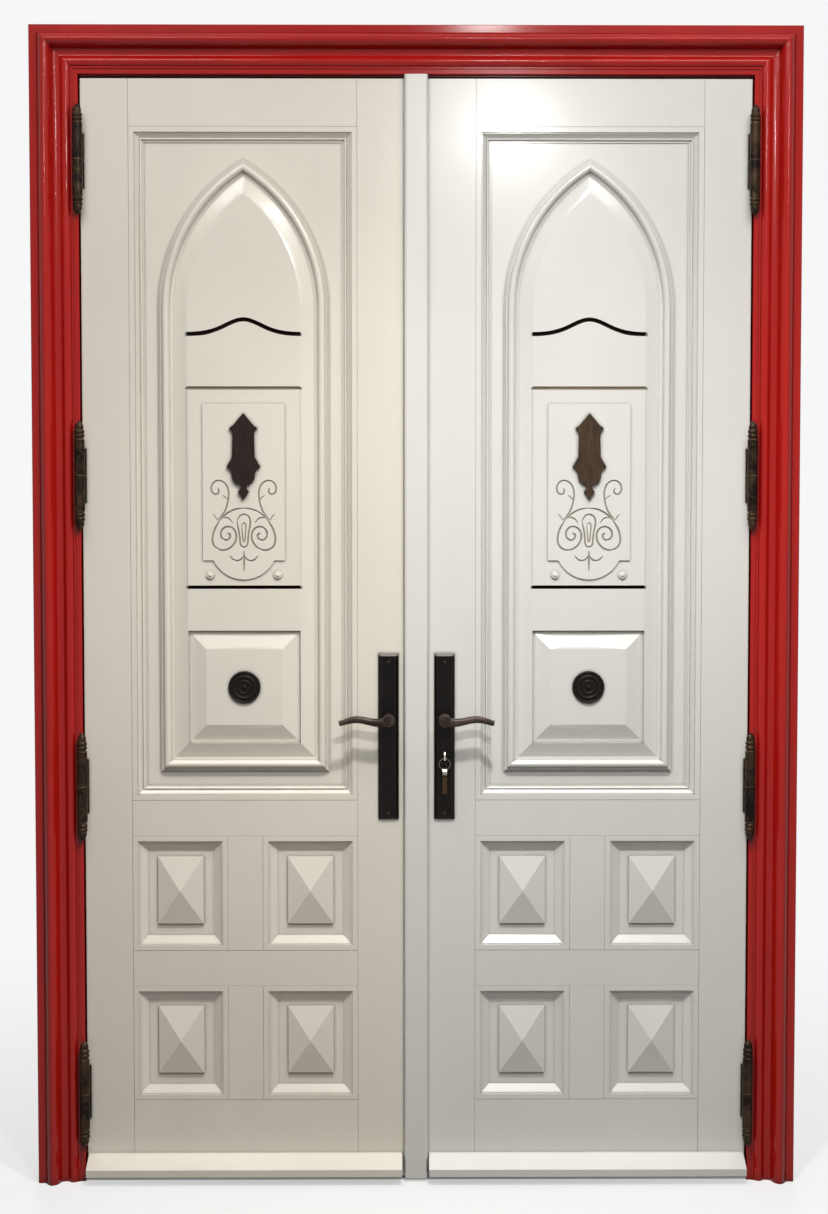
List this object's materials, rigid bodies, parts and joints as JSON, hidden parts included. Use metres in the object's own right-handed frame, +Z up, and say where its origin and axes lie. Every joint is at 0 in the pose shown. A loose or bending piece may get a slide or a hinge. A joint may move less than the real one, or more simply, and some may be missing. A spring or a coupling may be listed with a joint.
{
  "type": "exterior door",
  "caption": "Double-leaf panelled exterior door in its frame, with pointed-arch carved panels, red moulded casing, long-plate levers and finialled hinges.",
  "frame": {"origin": "on the underside of the threshold, at the middle of the doorway, below the outer face of the closed leaves", "axes": "+Z up, -Y outward through the side that shows in the picture, +X to the right seen from outside"},
  "size_m": [1.657, 0.184, 2.509],
  "materials": {
    "warm_white_paint": "satin paint",
    "cool_white_paint": "satin paint",
    "red_paint": "gloss paint",
    "dark_bronze": "aged dark bronze",
    "dark_wood": "stained and varnished",
    "steel": "zinc plated",
    "lock_brass": "machined",
    "key_nickel": "nickel plated",
    "threshold_aluminium": "bronze anodised",
    "seal_rubber": "matt"
  },
  "bodies": {
    "frame": {"left_jamb": "red_paint", "right_jamb": "red_paint", "head_jamb": "red_paint", "threshold": "threshold_aluminium", "left_casing": "red_paint", "right_casing": "red_paint", "head_casing": "red_paint", "frame_seal": "seal_rubber", "frame_hinge_halves": "dark_bronze", "hinge_pins": "steel"},
    "active_leaf": {"active_hinge_stile": "cool_white_paint", "active_lock_stile": "cool_white_paint", "active_rails": "cool_white_paint", "active_muntins": "cool_white_paint", "active_upper_panel": "cool_white_paint", "active_arch_moulding": "cool_white_paint", "active_arch_field": "cool_white_paint", "active_lower_panels": "cool_white_paint", "active_upper_moulding": "cool_white_paint", "active_lower_mouldings": "cool_white_paint", "active_ornament": "dark_wood", "active_rosette": "dark_wood", "active_weatherboard": "cool_white_paint", "active_outer_plate": "dark_bronze", "active_inner_plate": "dark_bronze", "active_hinge_halves": "dark_bronze", "astragal": "cool_white_paint", "lock_case": "steel", "cylinder_body": "lock_brass"},
    "active_lever": {"active_outer_lever": "dark_bronze", "active_inner_lever": "dark_bronze"},
    "latch": {"latch_bolt": "steel"},
    "deadbolt": {"dead_bolt": "steel"},
    "key": {"cylinder_plug": "lock_brass", "door_key": "key_nickel"},
    "key_bunch": {"key_ring": "key_nickel", "spare_keys": "key_nickel"},
    "passive_leaf": {"passive_hinge_stile": "warm_white_paint", "passive_lock_stile": "warm_white_paint", "passive_rails": "warm_white_paint", "passive_muntins": "warm_white_paint", "passive_upper_panel": "warm_white_paint", "passive_arch_moulding": "warm_white_paint", "passive_arch_field": "warm_white_paint", "passive_lower_panels": "warm_white_paint", "passive_upper_moulding": "warm_white_paint", "passive_lower_mouldings": "warm_white_paint", "passive_ornament": "dark_wood", "passive_rosette": "dark_wood", "passive_weatherboard": "warm_white_paint", "passive_outer_plate": "dark_bronze", "passive_inner_plate": "dark_bronze", "passive_hinge_halves": "dark_bronze", "strike_plate": "steel", "bolt_gearbox": "steel"},
    "passive_lever": {"passive_outer_lever": "dark_bronze", "passive_inner_lever": "dark_bronze"},
    "top_rod": {"top_bolt": "steel"},
    "bottom_rod": {"bottom_bolt": "steel"}
  },
  "joints": [
    {"name": "active_swing", "type": "hinge", "parent": "frame", "child": "active_leaf", "pos_m": [0.726, -0.021, 1.2], "axis": [0, 0, 1], "range_deg": [0, 90]},
    {"name": "passive_swing", "type": "hinge", "parent": "frame", "child": "passive_leaf", "pos_m": [-0.726, -0.021, 1.2], "axis": [0, 0, 1], "range_deg": [-90, 0]},
    {"name": "active_lever_turn", "type": "hinge", "parent": "active_leaf", "child": "active_lever", "pos_m": [0.061, 0, 1.02], "axis": [0, 1, 0], "range_deg": [0, 40], "stiffness_Nm_per_rad": 1.5, "springref_deg": -34.38},
    {"name": "latch_slide", "type": "slide", "parent": "active_leaf", "child": "latch", "axis": [1, 0, 0], "range_m": [0, 0.014]},
    {"name": "key_turn", "type": "hinge", "parent": "active_leaf", "child": "key", "pos_m": [0.061, 0, 0.942], "axis": [0, 1, 0], "range_deg": [0, 110]},
    {"name": "deadbolt_slide", "type": "slide", "parent": "active_leaf", "child": "deadbolt", "axis": [-1, 0, 0], "range_m": [0, 0.02]},
    {"name": "key_ring_hang", "type": "hinge", "parent": "key", "child": "key_bunch", "pos_m": [0.061, -0.0296, 0.932], "axis": [0, 1, 0], "range_deg": [-110, 0]},
    {"name": "passive_lever_turn", "type": "hinge", "parent": "passive_leaf", "child": "passive_lever", "pos_m": [-0.061, 0, 1.02], "axis": [0, 1, 0], "range_deg": [0, 45]},
    {"name": "top_bolt_slide", "type": "slide", "parent": "passive_leaf", "child": "top_rod", "axis": [0, 0, 1], "range_m": [0, 0.02]},
    {"name": "bottom_bolt_slide", "type": "slide", "parent": "passive_leaf", "child": "bottom_rod", "axis": [0, 0, -1], "range_m": [0, 0.02]}
  ],
  "couplings": [
    {"joint": "passive_swing", "follows": "active_swing", "ratio": -1},
    {"joint": "latch_slide", "follows": "active_lever_turn", "m_per_rad": 0.020053},
    {"joint": "deadbolt_slide", "follows": "key_turn", "m_per_rad": 0.010417},
    {"joint": "key_ring_hang", "follows": "key_turn", "ratio": -1},
    {"joint": "top_bolt_slide", "follows": "passive_lever_turn", "m_per_rad": 0.025465},
    {"joint": "bottom_bolt_slide", "follows": "passive_lever_turn", "m_per_rad": 0.025465}
  ]
}
